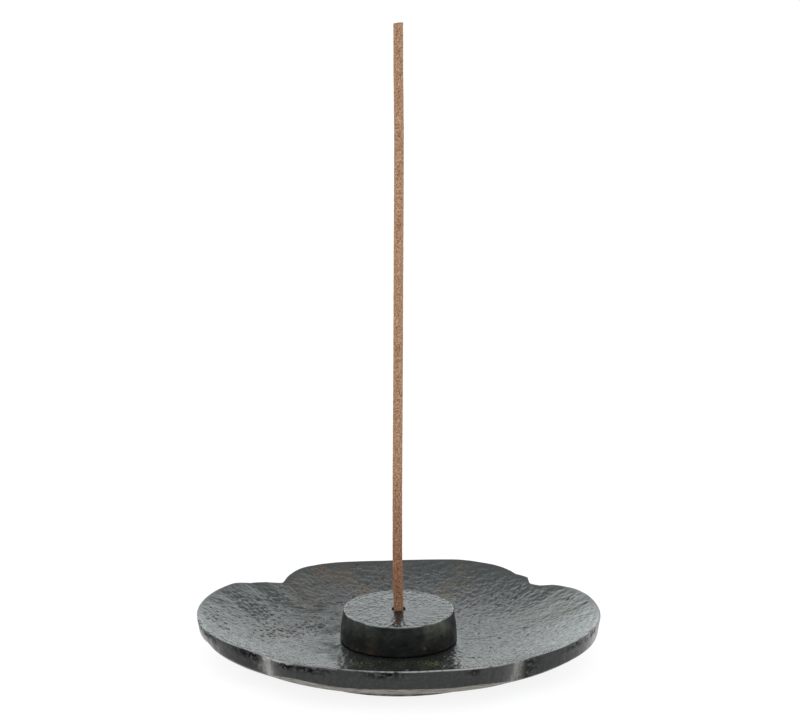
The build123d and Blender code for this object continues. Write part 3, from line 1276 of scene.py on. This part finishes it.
    def marks(self, stack: np.ndarray, height: np.ndarray, over: np.ndarray,
              outside: np.ndarray) -> dict[str, np.ndarray]:
        """Give the amounts of painted edge highlight, rust bloom, film and grain at each point.

        Args:
            stack: All rings of the stand.
            height: Height of each ring before it was roughened.
            over: How far each ring belongs to the top, from 0 to 1.
            outside: Whether each ring lies outside the top.

        Returns:
            Each amount by its name.
        """
        # Painted highlight along the top's edge
        edge = np.exp(-((height - self.top + self.edge_drop) / self.edge_width) ** 2) * outside
        patchy = smooth_step(*self.patchy_edge, relief(stack, self.patchy_size, Pattern.STAND_HIGHLIGHT))
        bright_edge = edge * self.edge_highlight * patchy
        bloom = np.minimum(patches_at(self.rusted, stack), 1) * (1 - over) * outside
        mottle = self.film_mottle * relief(stack, self.swell_size, Pattern.STAND_FILM)
        film = (self.side_film + mottle) * (1 - bloom)
        return {
            "bright_edge": bright_edge,
            "bloom": bloom,
            "olive": np.broadcast_to(smooth_step(*self.olive_rise, height), bright_edge.shape),
            "pitted": film * (1 - over) * outside,
            "grainy": np.full_like(bright_edge, self.grainy),
        }

    def build(self) -> bpy.types.Object:
        """Make the stand's mesh.

        Returns:
            The piece, still without its finish.
        """
        section, turn = self.section(), circle(self.columns)
        reach, height = section[:, :1], section[:, 1:]
        upright = np.broadcast_to(height[:, :, None], (len(section), self.columns, 1))
        stack = np.concatenate([reach[:, :, None] * turn, upright], axis=2)
        outside = reach > self.top_radius - self.top_round
        on_top = reach >= self.bore_radius + self.mouth_round
        over = smooth_step(self.top - self.top_round, self.top, height) * on_top
        beside = (1 - over) * smooth_step(self.base, self.base + self.base_even, height) * outside
        bumps = relief(stack, self.swell_size, Pattern.STAND_SWELL) * self.swell_height
        bumps += relief(stack, self.ripple_size, Pattern.STAND_RIPPLE) * self.ripple_height
        bumps *= 1 - patches_at(self.calm, stack)
        rising = smooth_step(*self.ripple_rise, reach - self.bore_radius)
        stack[..., 2] += over * (bumps * rising + self.tooling(reach, turn) - self.ripple_height)
        sideways = self.side_bump_share * bumps - self.side_inset_share * self.ripple_height
        stack[..., :2] += turn * (beside * sideways)[..., None]
        marks = self.marks(stack, height, over, outside)
        return ring_piece("iron_stick_stand", stack, [0] * (len(section) - 1), **marks)

    def dress(self, piece: bpy.types.Object) -> None:
        """Give the stand its finish and its place in the frame.

        Args:
            piece: The stand's mesh.
        """
        piece.data.materials.append(self.skin.material())
        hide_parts("stick_stand")
        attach(piece, "stand")


@dataclass
class IncenseStick:
    """The stick of pressed incense, a little crooked, snapped on the slant at its tip."""

    radius: float = 1.1
    foot: float = 6.0
    length: float = 140.0
    tip_slant_angle: float = 20.8
    tip_turn_angle: float = 107.0
    columns: int = 48
    step: float = 0.35
    tip_shares: tuple[float, ...] = (0.15, 0.4, 0.65, 0.85, 1)
    foot_shares: tuple[float, ...] = (1, 0.4)
    end_round: float = 0.1
    end_rings: int = 3
    grain_size: float = 0.7
    grain_depth: float = 0.03
    # The tip has crumbled, and is lower by a share of the crumbs' height
    tip_crumble: float = 0.08
    crumble_size: float = 0.45
    crumble_drop: float = 0.6
    # Painted shade darkens the stick towards its foot, by the dark dish, and fades out between these
    # heights
    handled: float = 0.55
    handled_band: tuple[float, float] = (18.0, 46.0)
    # How far the stick leaves a straight line along X, each a height and a length
    bow: tuple[tuple[float, float], ...] = (
        (6, 0), (11, -0.02), (16, -0.12), (22, -0.25), (34, -0.27), (42, -0.25), (56, -0.17), (70, -0.1),
        (92, -0.02), (113, 0.08), (122, 0.08), (134, -0.05), (146, -0.07),
    )
    paste: IncensePaste = IncensePaste("pressed_incense_paste")

    def tip(self, plan: np.ndarray) -> np.ndarray:
        """Give the height of the snapped tip at points in plan."""
        turn, fall = math.radians(self.tip_turn_angle), math.tan(math.radians(self.tip_slant_angle))
        return self.foot + self.length - fall * (self.radius + plan @ (math.cos(turn), math.sin(turn)))

    def build(self) -> bpy.types.Object:
        """Make the stick's mesh.

        Returns:
            The piece, still without its finish.
        """
        turn = circle(self.columns)
        edge, side = turn * (self.radius - self.end_round), turn * self.radius
        tips = [np.column_stack([edge * share, self.tip(edge * share)]) for share in self.tip_shares]
        top = np.column_stack([side, self.tip(side) - self.end_round])
        rings = tips + rounded(tips[-1], np.column_stack([side, self.tip(side)]), top, self.end_rings)
        for share in np.linspace(0, 1, int(self.length / self.step))[1:]:
            low = top.copy()
            low[:, 2] += (self.foot + self.end_round - top[:, 2]) * share
            rings.append(low)
        rings += [np.column_stack([edge * share, np.full(self.columns, self.foot)])
                  for share in self.foot_shares]
        stack = np.array(rings)
        # Less 1, so that the grain only lies inside the stick's radius
        grain = relief(stack, self.grain_size, Pattern.STICK_GRAIN, FINE_OCTAVES) - 1
        stack[..., :2] *= 1 + grain[..., None] * self.grain_depth / self.radius
        snapped = stack[:len(tips)]
        crumbs = relief(snapped, self.crumble_size, Pattern.TIP_CRUMBLE, FINE_OCTAVES) - self.crumble_drop
        snapped[..., 2] += crumbs * self.tip_crumble
        stack[..., 0] += np.interp(stack[..., 2], *zip(*self.bow))
        # Painted shade, darker towards the stick's foot
        handled = self.handled * (1 - smooth_step(*self.handled_band, stack[..., 2]))
        return ring_piece("incense_stick_paste", stack, [0] * (len(stack) - 1), handled=handled)

    def dress(self, piece: bpy.types.Object) -> None:
        """Give the stick its finish and its place in the frame.

        Args:
            piece: The stick's mesh.
        """
        piece.data.materials.append(self.paste.material())
        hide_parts("incense_stick")
        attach(piece, "stick")


@dataclass
class Studio:
    """A pale floor, white light all round that is strongest low at the back, and a long-lens camera."""

    picture: tuple[int, int] = (800, 727)
    pixels_per_mm: float = 4.538
    distance: float = 2400.0
    elevation: float = 18.55
    azimuth: float = 1.1
    # Where the middle of the dish's floor comes in the picture, in pixels from its top left corner
    floor_middle: tuple[float, float] = (398.6, 638.3)
    floor_height: float = 4.0
    floor_size: float = 8000.0
    floor_drop: float = 0.02
    card: str = "#f0f0f0"
    shade: float = 0.2
    glow: float = 0.86
    daylight: str = "#f8ffff"
    light_ahead: float = 1.03
    light_behind: float = 1.6
    behind: tuple[float, float] = (0.45, 0.93)
    # The light at the back grows to this many times its strength towards the left
    to_left: tuple[float, float] = (-0.05, -0.35)
    left_gain: float = 2.15

    def lay_floor(self) -> None:
        """Make the pale floor."""
        half = self.floor_size / 2
        ways = ((-1, -1), (1, -1), (1, 1), (-1, 1))
        corners = [(x * half * MM, y * half * MM, -self.floor_drop * MM) for x, y in ways]
        mesh = bpy.data.meshes.new("pale_floor")
        mesh.from_pydata(corners, [], [(0, 1, 2, 3)])
        mesh.materials.append(self.floor_material())
        floor = show("pale_floor", mesh)

    def floor_material(self) -> bpy.types.Material:
        """Make matt pale card that looks white to the camera and in reflections but keeps the shadow.

        Returns:
            The new material.
        """
        material, tree, _ = start_material("pale_card")
        path = add_node(tree, "LightPath")
        mirrored = add_node(tree, "Math", {"operation": "MAXIMUM"}, i0=path.outputs["Is Glossy Ray"],
                            i1=path.outputs["Is Transmission Ray"])
        seen = add_node(tree, "Math", {"operation": "MAXIMUM"}, i0=path.outputs["Is Camera Ray"],
                        i1=mirrored)
        card = add_node(tree, "BsdfDiffuse", Color=linear(self.card))
        shade = add_node(tree, "BsdfDiffuse", Color=(self.shade, self.shade, self.shade, 1.0))
        glow = add_node(tree, "Emission", Strength=self.glow)
        white = add_node(tree, "AddShader", i0=shade, i1=glow)
        both = add_node(tree, "MixShader", i0=seen, i1=card, i2=white)
        add_node(tree, "OutputMaterial", Surface=both)
        return material

    def light(self) -> None:
        """Light the scene from all round."""
        world = bpy.data.worlds.new("white_room")
        world.use_nodes = True
        tree = world.node_tree
        tree.nodes.clear()
        way = add_node(tree, "TexCoord")
        apart = add_node(tree, "SeparateXYZ", Vector=way.outputs["Generated"])
        added = add_node(tree, "MapRange", {"interpolation_type": "SMOOTHSTEP"}, Value=apart.outputs["Y"],
                         From_Min=self.behind[0], From_Max=self.behind[1],
                         To_Max=self.light_behind - self.light_ahead)
        gain = add_node(tree, "MapRange", {"interpolation_type": "SMOOTHSTEP"}, Value=apart.outputs["X"],
                        From_Min=self.to_left[0], From_Max=self.to_left[1], To_Min=1.0,
                        To_Max=self.left_gain)
        strength = add_node(tree, "Math", {"operation": "MULTIPLY_ADD"}, i0=added, i1=gain,
                            i2=self.light_ahead)
        sky = add_node(tree, "Background", Color=linear(self.daylight), Strength=strength)
        add_node(tree, "OutputWorld", Surface=sky)
        bpy.context.scene.world = world
        bpy.context.scene.view_settings.view_transform = "Standard"

    def place_camera(self) -> None:
        """Put the camera where the middle of the dish's floor comes at its place in the picture."""
        turn, lift = math.radians(self.azimuth), math.radians(self.elevation)
        back = Vector((math.sin(turn) * math.cos(lift), -math.cos(turn) * math.cos(lift), math.sin(lift)))
        right = Vector((math.cos(turn), math.sin(turn), 0))
        up = back.cross(right)
        across = (self.floor_middle[0] - self.picture[0] / 2) / self.pixels_per_mm
        below = (self.floor_middle[1] - self.picture[1] / 2) / self.pixels_per_mm
        aim = Vector((0, 0, self.floor_height)) - right * across + up * below
        camera = bpy.data.cameras.new("long_lens")
        camera.lens = camera.sensor_width * self.distance * self.pixels_per_mm / self.picture[0]
        holder = show("long_lens", camera)
        facing = Matrix((right, up, back)).transposed().to_4x4()
        holder.matrix_world = Matrix.Translation((aim + back * self.distance) * MM) @ facing
        bpy.context.scene.camera = holder

    def build(self) -> None:
        """Set up the whole studio."""
        self.lay_floor()
        self.light()
        self.place_camera()


def main() -> None:
    """Build and dress each piece, then set up the studio."""
    logging.basicConfig(level=logging.INFO, format="%(name)s: %(message)s")
    for part in (Dish(), StickStand(), IncenseStick()):
        piece = part.build()
        part.dress(piece)
        log.info("%s: %d points", piece.name, len(piece.data.vertices))
    Studio().build()


if __name__ == "__main__":
    main()
